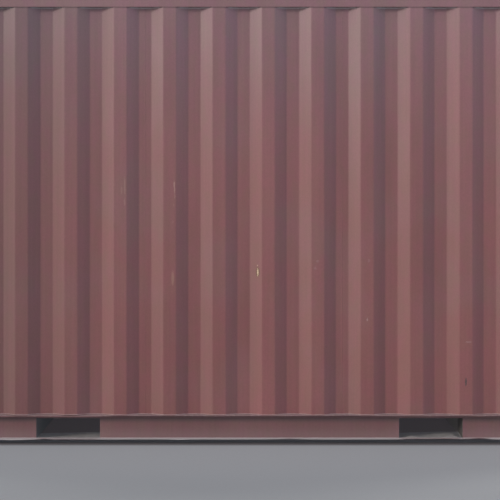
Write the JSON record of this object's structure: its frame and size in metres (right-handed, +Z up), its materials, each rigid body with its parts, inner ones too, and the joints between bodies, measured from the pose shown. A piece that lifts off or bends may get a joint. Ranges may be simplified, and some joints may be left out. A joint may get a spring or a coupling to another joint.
{
  "type": "shipping container",
  "caption": "Corrugated steel freight container with corner castings, two fork pockets, stamped roof and closed doors with lock rods",
  "frame": {"origin": "middle of the footprint, at the underside of the bottom corner castings", "axes": "+X along the length towards the doors, +Y across to the right side seen by someone facing the doors, +Z up"},
  "size_m": [6.058, 2.438, 2.591],
  "materials": {
    "casting_paint": "cast steel under worn red-brown paint",
    "frame_paint": "chalky red-brown paint",
    "rail_paint": "dusty, scratched red-brown paint",
    "wall_paint": "faded matt red-brown paint",
    "roof_paint": "faded, dusty red-brown paint",
    "door_paint": "faded matt red-brown paint",
    "gear_paint": "worn red-brown paint, rust at the edges",
    "underside_paint": "dark waxed paint with dirt",
    "rod_steel": "dull galvanised",
    "pin_steel": "bare, slightly stained",
    "seal_rubber": "matt",
    "floor_wood": "worn plywood",
    "vent_plastic": "faded"
  },
  "bodies": {
    "root": {"bottom_corner_castings": "casting_paint", "top_corner_castings": "casting_paint", "front_left_post": "frame_paint", "front_right_post": "frame_paint", "rear_left_post": "frame_paint", "rear_right_post": "frame_paint", "rear_post_channels": "frame_paint", "left_bottom_rail": "rail_paint", "right_bottom_rail": "rail_paint", "left_top_rail": "frame_paint", "right_top_rail": "frame_paint", "front_bottom_rail": "rail_paint", "front_top_rail": "frame_paint", "door_sill": "rail_paint", "door_header": "frame_paint", "left_wall": "wall_paint", "right_wall": "wall_paint", "front_wall": "wall_paint", "roof": "roof_paint", "roof_end_plates": "roof_paint", "roof_corner_plates": "roof_paint", "floor_boards": "floor_wood", "cross_members": "underside_paint", "front_fork_pocket": "underside_paint", "rear_fork_pocket": "underside_paint", "left_door_frame": "door_paint", "right_door_frame": "door_paint", "left_door_panel": "door_paint", "right_door_panel": "door_paint", "left_door_seal": "seal_rubber", "right_door_seal": "seal_rubber", "left_door_hinges": "gear_paint", "right_door_hinges": "gear_paint", "hinge_lugs": "gear_paint", "hinge_pins": "pin_steel", "left_lock_rods": "rod_steel", "right_lock_rods": "rod_steel", "left_rod_brackets": "gear_paint", "right_rod_brackets": "gear_paint", "left_door_handles": "rod_steel", "right_door_handles": "rod_steel", "handle_catches": "gear_paint", "header_cam_keepers": "gear_paint", "sill_cam_keepers": "gear_paint", "side_vents": "vent_plastic"}
  },
  "joints": []
}
